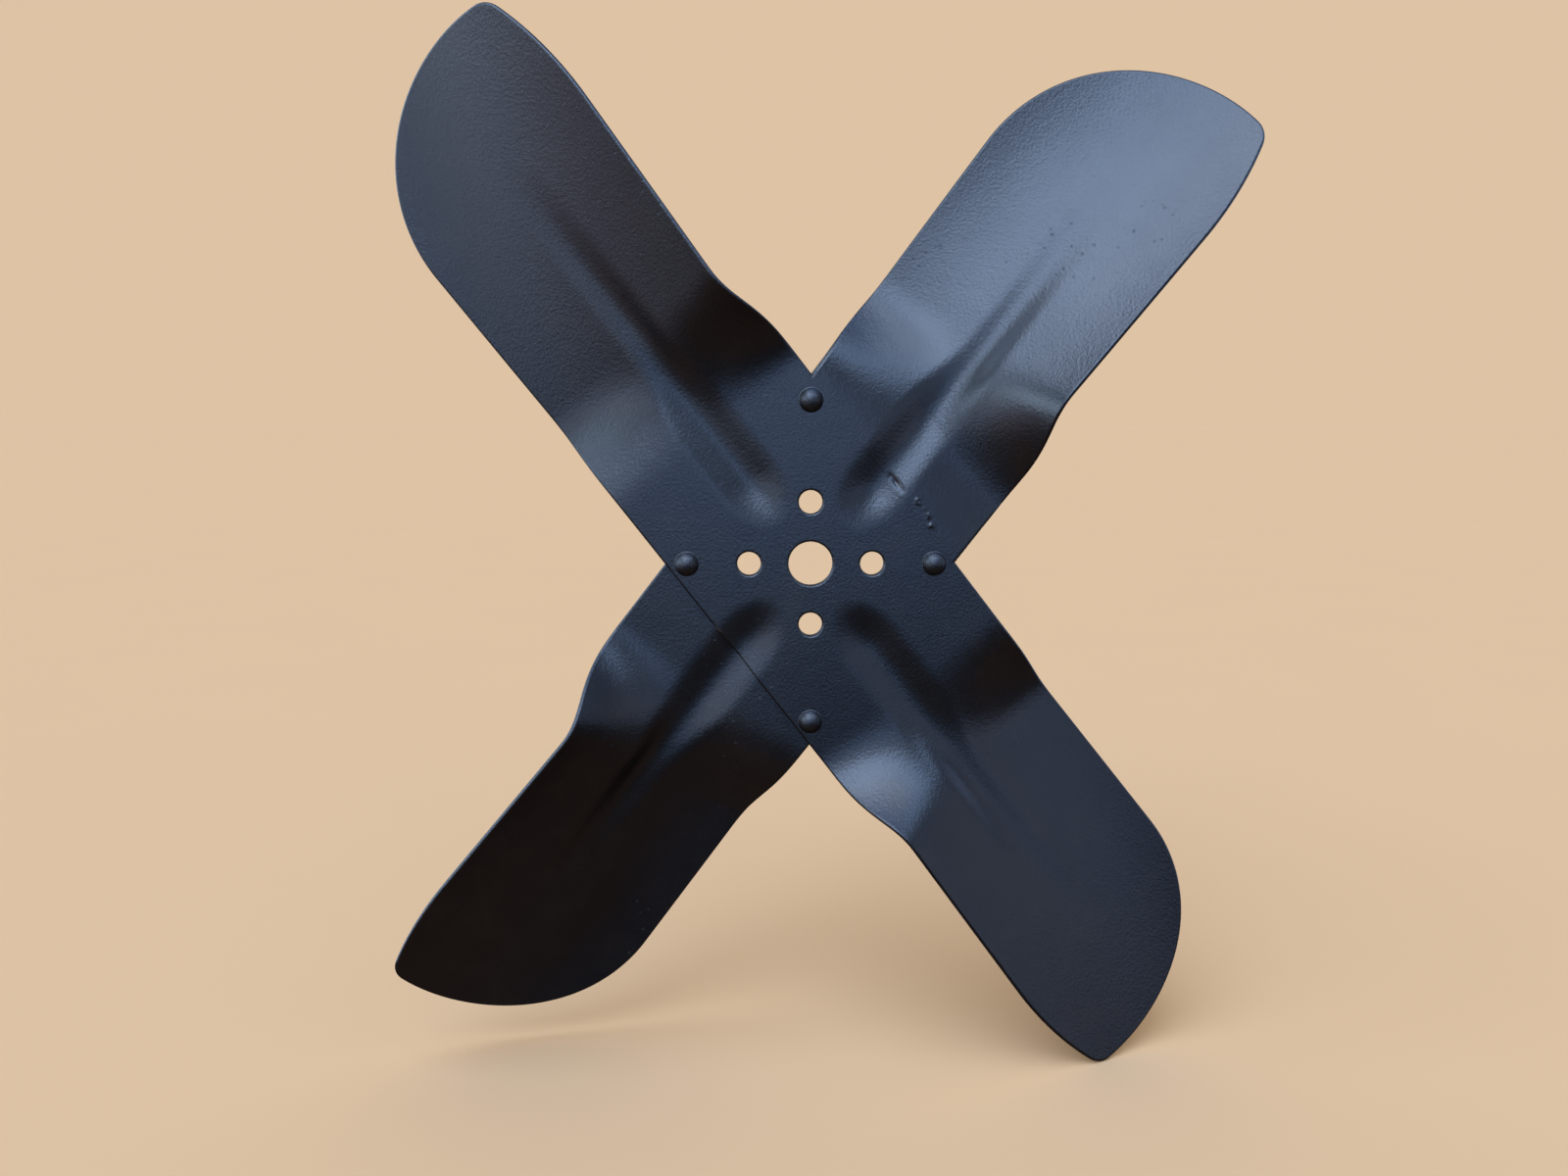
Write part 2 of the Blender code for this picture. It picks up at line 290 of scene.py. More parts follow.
def punch(blank, centre, radius):
    """Set one round hole into the flat blank."""
    clear = radius + RIM_ROW + COLLAR
    gone = [face for face in blank.faces
            if min((corner.co - centre).length for corner in face.verts) < clear]
    bmesh.ops.delete(blank, geom=gone, context="FACES")
    rough = [edge for edge in blank.edges if edge.is_boundary
             and (edge.verts[0].co - centre).length < clear + RAGGED]
    steps = ceil(2 * pi * radius / HOLE_STEP)
    ring = bmesh.ops.create_circle(
        blank, segments=steps, radius=radius + RIM_ROW, matrix=Matrix.Translation(centre))
    ring_edges = list({edge for corner in ring["verts"] for edge in corner.link_edges})
    bmesh.ops.triangle_fill(
        blank, edges=rough + ring_edges, use_beauty=True, normal=(0, 0, -1))
    rim = bmesh.ops.extrude_edge_only(blank, edges=ring_edges)
    drawn_in = [item for item in rim["geom"] if isinstance(item, bmesh.types.BMVert)]
    shrink = radius / (radius + RIM_ROW)
    bmesh.ops.scale(
        blank, verts=drawn_in, vec=(shrink, shrink, 1.0), space=Matrix.Translation(-centre))


print("holes in each strip:", len(HOLES))

# %% [markdown]
# ## The press
#
# The tool does three things to the blank. It turns each blade to its pitch through a soft bend
# just outside the hub, it hollows the blade like a shallow trough, and it sinks a stiffening
# groove along the middle. The bands of shade across the grooves in the photograph tell their
# shape: some 25 mm wide on the hub, with a round start near the holes and a round floor, then
# slimmer and a little off the middle on the blade, where it fades out.
#
# The sheet could be bent with modifiers, one after another. Moving the corners by one rule for
# all of this keeps the two strips nested, as the real ones are: the back strip carries the same
# grooves under the front one.

# %% Sizes of the pressed form
PITCH_ROOT = radians(26.2)
PITCH_TIP = radians(17.6)
PITCH_ROOT_S = 90.0 * MM
PITCH_TIP_S = 210.0 * MM
HOLLOW = 149.0 * MM
BEND_MIDDLE = 79.0 * MM
BEND_LENGTH = 47.0 * MM
BEND_SLANT = 0.03
SHIFT_ACROSS = -2.0 * MM
SHIFT_FORWARD = -0.8 * MM
HUB_REACH = 50.0 * MM

# The groove's round start, and where it fades out
GROOVE_DEPTH = 2.5 * MM
GROOVE_ROUND = 38.0 * MM
GROOVE_ROUND_LENGTH = 20.0 * MM
GROOVE_FADE = 70.0 * MM
GROOVE_END = 175.0 * MM

# The groove's middle and half width across the strip, and where along it they change over
GROOVE_ON_HUB = (0.9 * MM, 12.3 * MM)
GROOVE_ON_BLADE = (4.6 * MM, 9.0 * MM)
GROOVE_CHANGE = (60.0 * MM, 100.0 * MM)

# %% The forming rule


def soft(value):
    """0 below 0, 1 above 1, and an even S between."""
    value = min(max(value, 0.0), 1.0)
    return value * value * (3.0 - 2.0 * value)


def gentle(value):
    """Like soft, but the curve of the sheet starts and ends without a jump too."""
    value = min(max(value, 0.0), 1.0)
    return value ** 3 * (value * (6.0 * value - 15.0) + 10.0)


def groove_depth(s, w):
    """How far one blade's groove is sunk at (s, w): a round start, then a long fading trough."""
    change = soft((s - GROOVE_CHANGE[0]) / (GROOVE_CHANGE[1] - GROOVE_CHANGE[0]))
    middle = GROOVE_ON_HUB[0] + (GROOVE_ON_BLADE[0] - GROOVE_ON_HUB[0]) * change
    half = GROOVE_ON_HUB[1] + (GROOVE_ON_BLADE[1] - GROOVE_ON_HUB[1]) * change
    beside = (w - middle) / half
    before = max(0.0, (GROOVE_ROUND - s) / GROOVE_ROUND_LENGTH)
    fade = soft((GROOVE_END - s) / (GROOVE_END - GROOVE_FADE))
    return GROOVE_DEPTH * soft(1.0 - sqrt(beside ** 2 + before ** 2)) * fade


def press_blade(s, w, sunk, extra_pitch, sprung):
    """Where the flat point (s, w) lies on the pressed blade: out, across, toward the viewer."""
    formed = gentle((s - BEND_MIDDLE - BEND_SLANT * w) / BEND_LENGTH + 0.5)
    run = max(0.0, (s - PITCH_ROOT_S) / (PITCH_TIP_S - PITCH_ROOT_S))
    pitch = formed * (PITCH_ROOT + (PITCH_TIP - PITCH_ROOT) * run + extra_pitch)
    chord = w
    rise = 0.0
    if formed > 0.0:
        bow = formed / HOLLOW
        chord = sin(bow * w) / bow
        rise = (1.0 - cos(bow * w)) / bow
    rise -= sunk
    across = chord * cos(pitch) - rise * sin(pitch) + formed * SHIFT_ACROSS
    forward = chord * sin(pitch) + rise * cos(pitch) + formed * (SHIFT_FORWARD + sprung)
    return s, across, forward


sample = groove_depth(HUB_REACH, GROOVE_ON_HUB[0])
print("groove's depth at the hub's rim, mm:", round(sample / MM, 2))

# %% [markdown]
# An old fan's blades are not all alike. Each has its own small extra pitch, and is sprung a
# millimetre forward or back, as the fit to the four outlines showed.

# %% Strips and how each blade is set
STRIP_RISE = radians(52.2)
SHEET = 1.9 * MM
SEAT_GAP = 0.3 * MM
STRIPS = {
    "front_strip": {
        "node": "front_blade_strip",
        "angle": pi - STRIP_RISE,
        "depth": 0.0,
        "reach": 217.7 * MM,
        "set": ((radians(-3.6), 0.8 * MM), (radians(0.6), -1.0 * MM)),
    },
    "back_strip": {
        "node": "back_blade_strip",
        "angle": STRIP_RISE,
        "depth": SHEET + SEAT_GAP,
        "reach": 214.1 * MM,
        "set": ((radians(0.2), -0.9 * MM), (radians(2.9), 1.0 * MM)),
    },
}


def strip_turn(strip):
    """The turn that takes a strip's (s, w, away from the viewer) to the world."""
    angle = strip["angle"]
    along = Vector((cos(angle), 0.0, sin(angle)))
    across = Vector((sin(angle), 0.0, -cos(angle)))
    return Matrix((along, across, Vector((0.0, 1.0, 0.0)))).transposed()


def on_strip(strip, place):
    """A world place as a strip's own (s, w, away from the viewer)."""
    return strip_turn(strip).transposed() @ place


def hub_groove(place):
    """The deepest of the four grooves at a flat place on the hub."""
    sunk = 0.0
    for strip in STRIPS.values():
        s, w = on_strip(strip, place).xy
        sunk = max(sunk, groove_depth(s, w), groove_depth(-s, -w))
    return sunk


def press(blank, strip, lift=None):
    """Press every corner of a flat blank into place. A lift raises it above the strip."""
    turn = strip_turn(strip)
    for corner in blank.verts:
        s, w = corner.co.xy
        side = 1.0 if s >= 0.0 else -1.0
        extra_pitch, sprung = strip["set"][0 if side > 0.0 else 1]
        if abs(s) < HUB_REACH:
            sunk = hub_groove(turn @ Vector((s, w, 0.0)))
        else:
            sunk = groove_depth(side * s, side * w)
        out, across, forward = press_blade(side * s, side * w, sunk, extra_pitch, sprung)
        away = strip["depth"] - forward
        if lift:
            away -= lift(turn @ Vector((s, w, 0.0)))
        corner.co = turn @ Vector((side * out, side * across, away))


lengths = {name: round(2 * strip["reach"] / MM, 1) for name, strip in STRIPS.items()}
print("tip to tip, mm:", lengths)

# %% [markdown]
# ## Thickness and edges
#
# Solidify gives the sheet its 1.9 mm, backward from the face that the photograph shows. The
# Bevel rounds the cut edges: shearing leaves them sharp, but several coats of paint have
# rounded them again, and it is this small radius that catches the light as a thin bright line.
# The Bevel's own clamp is off, because it would cut the rounding down everywhere to what the
# smallest face allows.

# %% Make both strips
EDGE_ROUND = 0.85 * MM
EDGE_SEGMENTS = 4
SMOOTH_ANGLE = radians(40)


def add_piece(name, source, paint=None):
    """Turn a finished bmesh into an object at the origin."""
    mesh = bpy.data.meshes.new(name)
    source.to_mesh(mesh)
    source.free()
    mesh.shade_smooth()
    piece = bpy.data.objects.new(name, mesh)
    bpy.context.scene.collection.objects.link(piece)
    if paint:
        mesh.materials.append(paint)
    return piece


def make_strip(name, strip):
    """One blade strip: blank, holes, pressing, thickness and rounded edges."""
    blank = ruled_blank(strip["reach"])
    for x, z, radius in HOLES:
        punch(blank, on_strip(strip, Vector((x, 0.0, z))), radius)
    press(blank, strip)
    piece = add_piece(name, blank)
    thickness = piece.modifiers.new("sheet thickness", "SOLIDIFY")
    thickness.thickness = SHEET
    thickness.offset = -1.0
    thickness.use_even_offset = True
    rounding = piece.modifiers.new("rounded edge", "BEVEL")
    rounding.width = EDGE_ROUND
    rounding.segments = EDGE_SEGMENTS
    rounding.limit_method = "ANGLE"
    rounding.angle_limit = SMOOTH_ANGLE
    rounding.use_clamp_overlap = False
    rounding.harden_normals = True
    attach(piece, "root")
    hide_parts(strip["node"])
    print(name, "faces before thickness:", len(piece.data.polygons))
    return piece


strips = {name: make_strip(name, strip) for name, strip in STRIPS.items()}

# %% [markdown]
# ## The filled seam
#
# Below and to the left of the hub, the front strip's edge stands clear of the back strip, with a
# dark line under it. Above and to the right, the photograph shows no edge at all but for a
# centimetre: that step has been filled and painted over, so that one face runs into the other.
# Where the edge does show, the filler has shrunk away from it into a gully, and below that place
# it has dried in crumbs.
#
# The filler could be sculpted by hand, but then nothing would hold it to the strips. Here it is a
# fine grid, trimmed to the back strip's width with bisect. It is pressed with the same rule as
# the back strip, so it follows the groove and the bend. A lift raises it to the front strip's
# face at the edge and lets it run out over 26 mm. Its other border laps over the front strip and
# dips under the strip's face there, so that no rim shows.

# %% Sizes of the filler

# The grid: its step, its lap over the front strip, its run on the back strip, its middle along
# the seam, its distance from the back strip's sides, the rounding there, and its thickness
FILLER_STEP = 0.5 * MM
FILLER_LAP = 2.4 * MM
FILLER_RUN = 26.0 * MM
FILLER_MIDDLE = HALF_WIDTH / 4
FILLER_SIDE = 0.15 * MM
FILLER_ROUND = 1.1 * MM
FILLER_SKIN = 0.25 * MM

# How far it stands over the front strip's face, and how far and over what width its lap dips
FILLER_OVER = 0.02 * MM
FILLER_DIP = 2.3 * FILLER_OVER
FILLER_TUCK = 1.8 * MM

# The gully: its ends along the front strip, its middle past that strip's edge, its width
GULLY = {"from": -1.0 * MM, "to": 10.0 * MM, "middle": 0.5 * MM, "width": 1.5 * MM}
GULLY_DEPTH = 1.1 * MM
GULLY_RAGGED = {"grain": 2.0 * MM, "mean": 0.75, "swing": 0.5}

# Each crumb: its place (x, z) on the flat hub, its radius and its height
CRUMBS = [
    (38.6 * MM, 22.8 * MM, 1.9 * MM, 0.55 * MM),
    (41.0 * MM, 19.8 * MM, 1.3 * MM, 0.25 * MM),
    (42.4 * MM, 17.2 * MM, 1.6 * MM, 0.40 * MM),
    (43.3 * MM, 13.6 * MM, 1.8 * MM, 0.35 * MM),
]
CRUMB_RAGGED = {"grain": 1.1 * MM, "mean": 0.7, "swing": 2.0}

# %% Height of the filler


def hump(value, start, end):
    """0 outside a range and an even rise to 1 in its middle."""
    share = (value - start) / (end - start)
    return soft(1.0 - abs(2.0 * share - 1.0)) if 0.0 < share < 1.0 else 0.0


def ragged(place, grain, mean, swing):
    """A factor that wanders about its mean from place to place."""
    return mean + swing * noise.noise(place / grain)


def gully_depth(place, s, past):
    """How far the filler has shrunk at a flat place, s along the seam and past the edge."""
    along = hump(s, GULLY["from"], GULLY["to"])
    across = soft(1.0 - abs(past - GULLY["middle"]) / GULLY["width"])
    return GULLY_DEPTH * along * across * ragged(place, **GULLY_RAGGED)


def crumb_height(place):
    """How high the dried crumbs stand at a flat place."""
    height = 0.0
    for x, z, radius, top in CRUMBS:
        height += top * soft(1.0 - sqrt((place.x - x) ** 2 + (place.z - z) ** 2) / radius)
    return height * ragged(place, **CRUMB_RAGGED)


def filler_lift(place):
    """Height of the filler above the back strip at a flat place."""
    s, w = on_strip(STRIPS["front_strip"], place).xy
    beside = on_strip(STRIPS["back_strip"], place).y
    past = w - HALF_WIDTH
    share = min(max(past / FILLER_RUN, 0.0), 1.0)
    lift = (SHEET + SEAT_GAP + FILLER_OVER) * (1.0 - soft(share))
    lift += crumb_height(place) - gully_depth(place, s, past)
    inside = (HALF_WIDTH - FILLER_SIDE - abs(beside)) / FILLER_ROUND
    rounded = sqrt(1.0 - (1.0 - min(max(inside, 0.0), 1.0)) ** 2)
    tucked = 1.0 - soft((past + FILLER_LAP) / FILLER_TUCK)
    return lift * rounded - FILLER_OVER * share - FILLER_DIP * tucked


# %% Filler over the upper right seam


def filler_grid():
    """A fine flat grid along the seam, in the front strip's (s, w)."""
    along = 2.0 * HALF_WIDTH + FILLER_RUN
    across = FILLER_RUN + FILLER_LAP
    skin = bmesh.new()
    bmesh.ops.create_grid(
        skin, x_segments=ceil(along / FILLER_STEP), y_segments=ceil(across / FILLER_STEP),
        size=0.5)
    bmesh.ops.scale(skin, verts=skin.verts[:], vec=(along, across, 1.0))
    middle = Vector((FILLER_MIDDLE, HALF_WIDTH - FILLER_LAP + across / 2, 0.0))
    bmesh.ops.translate(skin, verts=skin.verts[:], vec=middle)
    return skin


def make_filler():
    """The skin of filler between the front strip's upper right edge and the back strip."""
    skin = filler_grid()
    to_back = strip_turn(STRIPS["back_strip"]).transposed() @ strip_turn(STRIPS["front_strip"])
    bmesh.ops.transform(skin, verts=skin.verts[:], matrix=to_back.to_4x4())
    for side in (1.0, -1.0):
        bmesh.ops.bisect_plane(
            skin, geom=skin.verts[:] + skin.edges[:] + skin.faces[:], clear_outer=True,
            plane_co=(0.0, side * (HALF_WIDTH - FILLER_SIDE), 0.0), plane_no=(0.0, side, 0.0))
    if skin.faces[:][0].normal.z > 0.0:
        bmesh.ops.reverse_faces(skin, faces=skin.faces[:])
    press(skin, STRIPS["back_strip"], filler_lift)
    piece = add_piece("seam_filler", skin)
    thickness = piece.modifiers.new("skin", "SOLIDIFY")
    thickness.thickness = FILLER_SKIN
    thickness.offset = -1.0
    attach(piece, "root")
    return piece


filler = make_filler()
print("filler faces:", len(filler.data.polygons))

# %% [markdown]
# ## Rivets
#
# Each rivet is one turned shape: a round head in front, the shank through both strips, and a
# flatter tail where it was closed. A half profile swept round its axis with spin makes exactly
# that. Paint has filled the corner between head and sheet, so the profile ends in a small foot.

# %% Rivet profile
HEAD_RADIUS = 4.1 * MM
HEAD_HEIGHT = 2.7 * MM
TAIL_RADIUS = 4.3 * MM
TAIL_HEIGHT = 2.0 * MM
SHANK = 4.76 * MM / 2
DOME_STEPS = 14
FOOT = 0.4 * MM
FOOT_STEPS = 4


def dome(radius, height, base, way):
    """Profile of a round head from its foot to its top, as (radius, y) pairs."""
    ball = (radius ** 2 + height ** 2) / (2 * height)
    rim = atan2(radius, ball - height)
    points = []
    for step in range(DOME_STEPS + 1):
        turn = rim * (1 - step / DOME_STEPS)
        points.append((ball * sin(turn), base + way * (ball * cos(turn) - ball + height)))
    return points


def foot(radius, base, way):
    """Profile of the paint that fills the corner under a head, from the sheet up to the rim."""
    points = []
    for step in range(FOOT_STEPS):
        turn = pi / 2 * (1 - step / FOOT_STEPS)
        points.append((radius + FOOT * (1 - cos(turn)), base + way * FOOT * (1 - sin(turn))))
    return points


def head_profile(radius, height, base, way):
    """Profile of a head with its foot of paint, rising along the given way."""
    return foot(radius, base, way) + dome(radius, height - FOOT, base + way * FOOT, way)


# %% Spin the rivets
RIVET_STEPS = 64
SEATED = 0.03 * MM


def make_rivet(name, x, z):
    """A rivet spun round the line along Y through (x, z)."""
    front = -SEATED
    back = 2 * SHEET + SEAT_GAP + SEATED
    profile = head_profile(HEAD_RADIUS, HEAD_HEIGHT, front, -1.0)[::-1]
    profile += [(SHANK, front), (SHANK, back)]
    profile += head_profile(TAIL_RADIUS, TAIL_HEIGHT, back, 1.0)
    rivet = bmesh.new()
    line = [rivet.verts.new((x + radius, y, z)) for radius, y in profile]
    edges = [rivet.edges.new(pair) for pair in zip(line, line[1:])]
    bmesh.ops.spin(
        rivet, geom=line + edges, cent=(x, 0, z), axis=(0, 1, 0), angle=2 * pi,
        steps=RIVET_STEPS, use_merge=True)
    bmesh.ops.remove_doubles(rivet, verts=rivet.verts[:], dist=SAME_PLACE)
    bmesh.ops.recalc_face_normals(rivet, faces=rivet.faces[:])
    piece = add_piece(name + "_shape", rivet)
    piece.data.set_sharp_from_angle(angle=SMOOTH_ANGLE)
    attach(piece, "root")
    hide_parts(name)
    return piece


rivets = [make_rivet(name, x, z) for name, (x, z) in RIVETS.items()]
print("rivets:", [piece.name for piece in rivets])

# %% [markdown]
# ## Paint
#
# The whole fan was sprayed at once, hub face, rivets and all, with a satin black. Such a paint
# is nearly all reflection: the colour under the gloss is close to none, and what the eye sees is
# the window and the ceiling, blurred by the satin. Three things keep it from looking like
# plastic. A fine orange peel breaks the reflection up. The satin isn't even, since sprayed paint
# is duller where it went on dry. And along the sheared edges the coat is thin and rubbed.
#
# Each effect is a node group of its own, built once and used by both paints. It puts out one
# number that changes over the surface, and the paint decides what to do with it.

# %% Helpers for node groups
NOISE_MEAN = 0.5


def new_group(name, inputs, output):
    """An empty node group with number inputs and one number output. Returns what is needed."""
    group = bpy.data.node_groups.new(name, "ShaderNodeTree")
    for label, value in inputs.items():
        socket = group.interface.new_socket(label, in_out="INPUT", socket_type="NodeSocketFloat")
        socket.default_value = value
    group.interface.new_socket(output, in_out="OUTPUT", socket_type="NodeSocketFloat")
    start = group.nodes.new("NodeGroupInput")
    end = group.nodes.new("NodeGroupOutput")
    return group, start, end


def add_noise(tree, scale, detail, roughness=0.5):
    """A noise over the object's own coordinates, which are in metres."""
    where = tree.nodes.new("ShaderNodeTexCoord")
    noise_node = tree.nodes.new("ShaderNodeTexNoise")
    noise_node.inputs["Scale"].default_value = scale
    noise_node.inputs["Detail"].default_value = detail
    noise_node.inputs["Roughness"].default_value = roughness
    tree.links.new(where.outputs["Object"], noise_node.inputs["Vector"])
    return noise_node.outputs["Fac"]


def add_range(tree, value, zero_at, one_at):
    """A soft change from 0 to 1 as the value goes from one number to the other."""
    node = tree.nodes.new("ShaderNodeMapRange")
    node.interpolation_type = "SMOOTHSTEP"
    node.inputs["From Min"].default_value = zero_at
    node.inputs["From Max"].default_value = one_at
    tree.links.new(value, node.inputs["Value"])
    return node.outputs["Result"]


def add_math(tree, operation, first, second):
    """A math node. Each operand is a socket or a number."""
    node = tree.nodes.new("ShaderNodeMath")
    node.operation = operation
    for socket, operand in zip(node.inputs, (first, second)):
        if isinstance(operand, (int, float)):
            socket.default_value = operand
        else:
            tree.links.new(operand, socket)
    return node.outputs["Value"]


# %% [markdown]
# ### Orange peel
#
# Paint from a spray gun sets before it has levelled out, and keeps ripples about a millimetre
# long. A picture of it would need the pressed blades unwrapped. A noise in the object's own
# coordinates needs nothing, and has no seams. Its scale counts ripples in a metre.

# %% Orange peel
PEEL_SCALE = 950.0
PEEL_FINE_SCALE = 2100.0
PEEL_WIDE_SCALE = 170.0


def make_peel():
    """Height of the sprayed skin: millimetre ripples, a finer grit and slow waves."""
    group, start, end = new_group("orange_peel", {"Grit": 0.35, "Waves": 0.6}, "Height")
    ripples = add_noise(group, PEEL_SCALE, detail=2.0)
    grit = add_math(
        group, "MULTIPLY", add_noise(group, PEEL_FINE_SCALE, detail=2.0), start.outputs["Grit"])
    waves = add_math(
        group, "MULTIPLY", add_noise(group, PEEL_WIDE_SCALE, detail=3.0), start.outputs["Waves"])
    height = add_math(group, "ADD", add_math(group, "ADD", ripples, grit), waves)
    group.links.new(height, end.inputs["Height"])
    return group


PEEL = make_peel()
print("node group:", PEEL.name)

# %% [markdown]
# ### Pits
#
# Rust had eaten small pits into the sheet before it was painted, and the paint has only softened
# them. A Voronoi texture puts one dot in each of its cells, here 4 mm wide, and a slow noise
# keeps the dots of a few patches only, as rust does.

# %% Pits under the paint
PIT_CELLS = 240.0
PIT_RADIUS = (0.10, 0.17)
PIT_PATCHES = 24.0
PIT_PATCH_EDGE = (0.56, 0.68)


def make_pits():
    """Mask of small pits, gathered in patches."""
    group, start, end = new_group("rust_pits", {"Amount": 1.0}, "Pits")
    where = group.nodes.new("ShaderNodeTexCoord")
    cells = group.nodes.new("ShaderNodeTexVoronoi")
    cells.inputs["Scale"].default_value = PIT_CELLS
    group.links.new(where.outputs["Object"], cells.inputs["Vector"])
    dots = add_range(group, cells.outputs["Distance"], PIT_RADIUS[1], PIT_RADIUS[0])
    patches = add_range(group, add_noise(group, PIT_PATCHES, detail=3.0), *PIT_PATCH_EDGE)
    mask = add_math(group, "MULTIPLY", dots, patches)
    mask = add_math(group, "MULTIPLY", mask, start.outputs["Amount"])
    group.links.new(mask, end.inputs["Pits"])
    return group


PITS = make_pits()
print("node group:", PITS.name)

# %% [markdown]
# ### Uneven satin
#
# A roughness that is the same all over looks like plastic. Two noises, broad clouds and finer
# ones, move it up and down about its even value. A noise seldom leaves the middle of its range,
# so what it gives is stretched first.

# %% Uneven satin
CLOUD_SCALE = 16.0
CLOUD_SHARE = 0.65
FINE_CLOUD_SCALE = 70.0
FINE_CLOUD_SHARE = 0.35
SATIN_STRETCH = 4.0


def make_satin():
    """How dull the paint is from place to place."""
    group, start, end = new_group("uneven_satin", {"Even": 0.36, "Swing": 0.10}, "Dullness")
    clouds = add_noise(group, CLOUD_SCALE, detail=4.0, roughness=0.6)
    fine_clouds = add_noise(group, FINE_CLOUD_SCALE, detail=3.0, roughness=0.6)
    mixed = add_math(
        group, "ADD", add_math(group, "MULTIPLY", clouds, CLOUD_SHARE),
        add_math(group, "MULTIPLY", fine_clouds, FINE_CLOUD_SHARE))
    away = add_math(group, "SUBTRACT", mixed, NOISE_MEAN)
    swing = add_math(group, "MULTIPLY", away, start.outputs["Swing"])
    swing = add_math(group, "MULTIPLY", swing, SATIN_STRETCH)
    group.links.new(add_math(group, "ADD", swing, start.outputs["Even"]), end.inputs["Dullness"])
    return group


SATIN = make_satin()
print("node group:", SATIN.name)

# %% [markdown]
# ### Rubbed edges
#
# Hands and shelves rub the paint first where the sheet is sharpest. Geometry's Pointiness is
# high on the rounded edges, because the mesh is fine enough there, and a noise breaks the rub up
# into short stretches.

# %% Rubbed edges
EDGE_POINTED = (0.53, 0.60)
RUB_SCALE = 240.0
RUB_STRETCH_EDGE = (0.50, 0.62)


def make_rub():
    """Mask of the sharp edges where the coat is thin, broken up by a noise."""
    group, start, end = new_group("rubbed_edges", {"Amount": 1.0}, "Rubbed")
    shape = group.nodes.new("ShaderNodeNewGeometry")
    sharp = add_range(group, shape.outputs["Pointiness"], *EDGE_POINTED)
    scratches = add_noise(group, RUB_SCALE, detail=4.0, roughness=0.65)
    mask = add_math(group, "MULTIPLY", sharp, add_range(group, scratches, *RUB_STRETCH_EDGE))
    mask = add_math(group, "MULTIPLY", mask, start.outputs["Amount"])
    group.links.new(mask, end.inputs["Rubbed"])
    return group


RUB = make_rub()
print("node group:", RUB.name)

# %% [markdown]
# The paint material itself puts the four effects together. Dust and overspray lift the black
# very slightly in blotches, the rubbed edges show a dull grey primer, and the pits and the peel
# go into one Bump.

# %% Helpers for the paint


def add_group(tree, group, **values):
    """Use a node group with some of its inputs set. Returns its output."""
    node = tree.nodes.new("ShaderNodeGroup")
    node.node_tree = group
    for label, value in values.items():
        node.inputs[label].default_value = value
    return node.outputs[0]


def add_mix(tree, factor, first, second):
    """Mix two colours. Each is a socket or a colour."""
    node = tree.nodes.new("ShaderNodeMix")
    node.data_type = "RGBA"
    tree.links.new(factor, node.inputs["Factor"])
    for socket, colour in ((node.inputs["A"], first), (node.inputs["B"], second)):
        if isinstance(colour, tuple):
            socket.default_value = colour
        else:
            tree.links.new(colour, socket)
    return node.outputs["Result"]


# %% Paints
PAINT_BLACK = (0.0018, 0.0020, 0.0026, 1.0)
PAINT_DUSTY = (0.0048, 0.0046, 0.0048, 1.0)
PRIMER = (0.055, 0.052, 0.050, 1.0)
DUST_SCALE = 55.0
DUST_EDGE = (0.45, 0.75)
RUB_DULLS = 0.2
PIT_DULLS = 0.15
PIT_DEPTH = 0.6


def satin_paint(name, dullness, swing, peel_depth, grit, waves, rubbed, pitted):
    """A sprayed satin black with its orange peel, pits and rubbed edges."""
    paint = bpy.data.materials.new(name)
    paint.use_nodes = True
    tree = paint.node_tree
    shader = tree.nodes["Principled BSDF"]
    rub = add_group(tree, RUB, Amount=rubbed)
    pits = add_group(tree, PITS, Amount=pitted)
    dull = add_group(tree, SATIN, Even=dullness, Swing=swing)
    peel = add_group(tree, PEEL, Grit=grit, Waves=waves)
    dust = add_range(tree, add_noise(tree, DUST_SCALE, detail=5.0, roughness=0.62), *DUST_EDGE)
    colour = add_mix(tree, dust, PAINT_BLACK, PAINT_DUSTY)
    colour = add_mix(tree, rub, colour, PRIMER)
    tree.links.new(colour, shader.inputs["Base Color"])
    dull = add_math(tree, "ADD", dull, add_math(tree, "MULTIPLY", rub, RUB_DULLS))
    dull = add_math(tree, "ADD", dull, add_math(tree, "MULTIPLY", pits, PIT_DULLS))
    tree.links.new(dull, shader.inputs["Roughness"])
    height = add_math(tree, "SUBTRACT", peel, add_math(tree, "MULTIPLY", pits, PIT_DEPTH))
    bump = tree.nodes.new("ShaderNodeBump")
    bump.inputs["Strength"].default_value = 1.0
    bump.inputs["Distance"].default_value = peel_depth
    tree.links.new(height, bump.inputs["Height"])
    tree.links.new(bump.outputs["Normal"], shader.inputs["Normal"])
    return paint


strip_paint = satin_paint(
    "satin_black_paint", dullness=0.35, swing=0.05, peel_depth=0.10 * MM, grit=0.35, waves=0.4,
    rubbed=1.0, pitted=1.0)
rivet_paint = satin_paint(
    "rivet_paint", dullness=0.42, swing=0.04, peel_depth=0.10 * MM, grit=0.3, waves=0.8,
    rubbed=0.3, pitted=0.3)
for piece in [*strips.values(), filler]:
    piece.data.materials.append(strip_paint)
for piece in rivets:
    piece.data.materials.append(rivet_paint)
print("paints:", strip_paint.name, rivet_paint.name)

# %% [markdown]
# ## Floor and backdrop
#
# A plain pale floor lies under the lowest blade tip. For the camera, the world has the colour
# that the floor has when it is lit, so that no horizon line crosses the picture. The paint would
# mirror the pale floor far too strongly, compared with the photograph, where everything below
# the hub is in shade: the floor is therefore hidden from mirrored rays, and one of the softboxes
# below, dim and warm, stands in.

